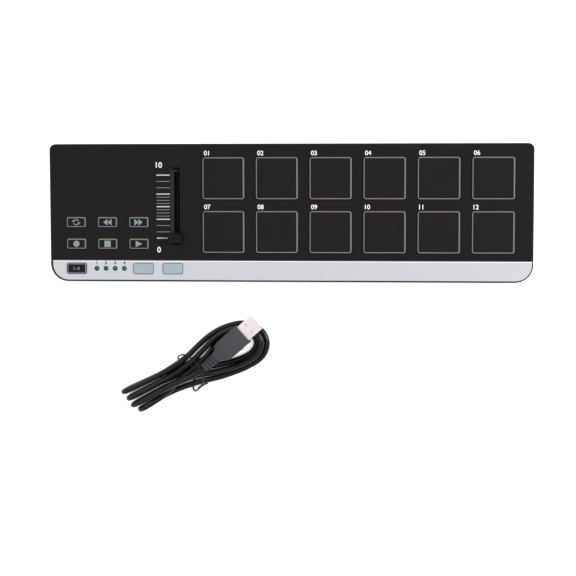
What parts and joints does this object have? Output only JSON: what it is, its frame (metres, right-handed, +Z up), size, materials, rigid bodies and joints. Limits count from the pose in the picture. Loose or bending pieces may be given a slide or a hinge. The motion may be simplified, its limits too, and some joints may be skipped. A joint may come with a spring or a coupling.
{
  "type": "midi pad controller",
  "caption": "Slim black desktop pad controller with a silver front strip, square silicone pads, small keys, a fader and a tied USB lead.",
  "frame": {"origin": "on the table, under the middle of the housing's footprint", "axes": "+X to the right along the housing's length, +Y to the rear, +Z up"},
  "size_m": [0.325, 0.1835, 0.0205],
  "materials": {
    "black_case": "fine moulded grain",
    "black_cover": "fine satin grain",
    "silver_strip": "smooth silver paint",
    "black_rubber": "soft matte",
    "steel_screws": "zinc plated",
    "green_board": "solder mask",
    "sensor_film": "thin film",
    "pale_silicone": "soft matte silicone",
    "pad_silicone": "soft matte silicone under a black print",
    "key_silicone": "soft matte silicone",
    "green_lamps": "tinted clear, unlit",
    "chip_black": "matte",
    "steel_parts": "bright tin plate",
    "capacitor_cans": "bright can",
    "black_plastic_inner": "matte",
    "brown_track": "phenolic board",
    "fader_black": "satin",
    "grey_cord": "satin sheath",
    "grey_overmould": "satin moulding",
    "plug_steel": "bright nickel plate",
    "pale_insulator": "smooth",
    "gold_contacts": "gold flash",
    "tie_black": "coated wire"
  },
  "bodies": {
    "controller": {"bottom_case": "black_case", "top_cover": "black_cover", "front_trim": "silver_strip", "rubber_feet": "black_rubber", "case_screws": "steel_screws", "main_board": "green_board", "board_screws": "steel_screws", "pad_sensor_sheet": "sensor_film", "pad_mat": "pale_silicone", "transport_key_mat": "pale_silicone", "strip_key_mat": "pale_silicone", "bank_lamps": "green_lamps", "controller_chip": "chip_black", "clock_crystal": "steel_parts", "board_capacitors": "capacitor_cans", "board_resistors": "chip_black", "usb_socket_shell": "steel_parts", "usb_socket_insulator": "black_plastic_inner", "slide_pot_base": "brown_track", "slide_pot_frame": "steel_parts", "usb_cord_hank": "grey_cord", "usb_plug_overmould": "grey_overmould", "usb_plug_shell": "plug_steel", "usb_plug_insulator": "pale_insulator", "usb_plug_contacts": "gold_contacts", "mini_plug_overmould": "grey_overmould", "mini_plug_shell": "plug_steel", "mini_plug_insulator": "black_plastic_inner", "twist_tie": "tie_black"},
    "fader": {"slider_carriage": "black_plastic_inner", "slider_lever": "steel_parts", "fader_cap": "fader_black"},
    "pad_01_body": {"pad_01": "pad_silicone"},
    "pad_02_body": {"pad_02": "pad_silicone"},
    "pad_03_body": {"pad_03": "pad_silicone"},
    "pad_04_body": {"pad_04": "pad_silicone"},
    "pad_05_body": {"pad_05": "pad_silicone"},
    "pad_06_body": {"pad_06": "pad_silicone"},
    "pad_07_body": {"pad_07": "pad_silicone"},
    "pad_08_body": {"pad_08": "pad_silicone"},
    "pad_09_body": {"pad_09": "pad_silicone"},
    "pad_10_body": {"pad_10": "pad_silicone"},
    "pad_11_body": {"pad_11": "pad_silicone"},
    "pad_12_body": {"pad_12": "pad_silicone"},
    "loop_key_body": {"loop_key": "key_silicone"},
    "rewind_key_body": {"rewind_key": "key_silicone"},
    "forward_key_body": {"forward_key": "key_silicone"},
    "record_key_body": {"record_key": "key_silicone"},
    "stop_key_body": {"stop_key": "key_silicone"},
    "play_key_body": {"play_key": "key_silicone"},
    "bank_key_body": {"bank_key": "key_silicone"},
    "left_function_key_body": {"left_function_key": "key_silicone"},
    "right_function_key_body": {"right_function_key": "key_silicone"}
  },
  "joints": [
    {"name": "pad_01_press", "type": "slide", "parent": "controller", "child": "pad_01_body", "axis": [0, 0, -1], "range_m": [0, 0.001], "stiffness_N_per_m": 900, "springref_m": -0.0004},
    {"name": "pad_02_press", "type": "slide", "parent": "controller", "child": "pad_02_body", "axis": [0, 0, -1], "range_m": [0, 0.001], "stiffness_N_per_m": 900, "springref_m": -0.0004},
    {"name": "pad_03_press", "type": "slide", "parent": "controller", "child": "pad_03_body", "axis": [0, 0, -1], "range_m": [0, 0.001], "stiffness_N_per_m": 900, "springref_m": -0.0004},
    {"name": "pad_04_press", "type": "slide", "parent": "controller", "child": "pad_04_body", "axis": [0, 0, -1], "range_m": [0, 0.001], "stiffness_N_per_m": 900, "springref_m": -0.0004},
    {"name": "pad_05_press", "type": "slide", "parent": "controller", "child": "pad_05_body", "axis": [0, 0, -1], "range_m": [0, 0.001], "stiffness_N_per_m": 900, "springref_m": -0.0004},
    {"name": "pad_06_press", "type": "slide", "parent": "controller", "child": "pad_06_body", "axis": [0, 0, -1], "range_m": [0, 0.001], "stiffness_N_per_m": 900, "springref_m": -0.0004},
    {"name": "pad_07_press", "type": "slide", "parent": "controller", "child": "pad_07_body", "axis": [0, 0, -1], "range_m": [0, 0.001], "stiffness_N_per_m": 900, "springref_m": -0.0004},
    {"name": "pad_08_press", "type": "slide", "parent": "controller", "child": "pad_08_body", "axis": [0, 0, -1], "range_m": [0, 0.001], "stiffness_N_per_m": 900, "springref_m": -0.0004},
    {"name": "pad_09_press", "type": "slide", "parent": "controller", "child": "pad_09_body", "axis": [0, 0, -1], "range_m": [0, 0.001], "stiffness_N_per_m": 900, "springref_m": -0.0004},
    {"name": "pad_10_press", "type": "slide", "parent": "controller", "child": "pad_10_body", "axis": [0, 0, -1], "range_m": [0, 0.001], "stiffness_N_per_m": 900, "springref_m": -0.0004},
    {"name": "pad_11_press", "type": "slide", "parent": "controller", "child": "pad_11_body", "axis": [0, 0, -1], "range_m": [0, 0.001], "stiffness_N_per_m": 900, "springref_m": -0.0004},
    {"name": "pad_12_press", "type": "slide", "parent": "controller", "child": "pad_12_body", "axis": [0, 0, -1], "range_m": [0, 0.001], "stiffness_N_per_m": 900, "springref_m": -0.0004},
    {"name": "loop_key_press", "type": "slide", "parent": "controller", "child": "loop_key_body", "axis": [0, 0, -1], "range_m": [0, 0.0007], "stiffness_N_per_m": 700, "springref_m": -0.0004},
    {"name": "rewind_key_press", "type": "slide", "parent": "controller", "child": "rewind_key_body", "axis": [0, 0, -1], "range_m": [0, 0.0007], "stiffness_N_per_m": 700, "springref_m": -0.0004},
    {"name": "forward_key_press", "type": "slide", "parent": "controller", "child": "forward_key_body", "axis": [0, 0, -1], "range_m": [0, 0.0007], "stiffness_N_per_m": 700, "springref_m": -0.0004},
    {"name": "record_key_press", "type": "slide", "parent": "controller", "child": "record_key_body", "axis": [0, 0, -1], "range_m": [0, 0.0007], "stiffness_N_per_m": 700, "springref_m": -0.0004},
    {"name": "stop_key_press", "type": "slide", "parent": "controller", "child": "stop_key_body", "axis": [0, 0, -1], "range_m": [0, 0.0007], "stiffness_N_per_m": 700, "springref_m": -0.0004},
    {"name": "play_key_press", "type": "slide", "parent": "controller", "child": "play_key_body", "axis": [0, 0, -1], "range_m": [0, 0.0007], "stiffness_N_per_m": 700, "springref_m": -0.0004},
    {"name": "bank_key_press", "type": "slide", "parent": "controller", "child": "bank_key_body", "axis": [0, 0, -1], "range_m": [0, 0.0007], "stiffness_N_per_m": 700, "springref_m": -0.0004},
    {"name": "left_function_key_press", "type": "slide", "parent": "controller", "child": "left_function_key_body", "axis": [0, 0, -1], "range_m": [0, 0.0007], "stiffness_N_per_m": 700, "springref_m": -0.0004},
    {"name": "right_function_key_press", "type": "slide", "parent": "controller", "child": "right_function_key_body", "axis": [0, 0, -1], "range_m": [0, 0.0007], "stiffness_N_per_m": 700, "springref_m": -0.0004},
    {"name": "fader_slide", "type": "slide", "parent": "controller", "child": "fader", "axis": [0, 1, 0], "range_m": [0, 0.0424]}
  ]
}
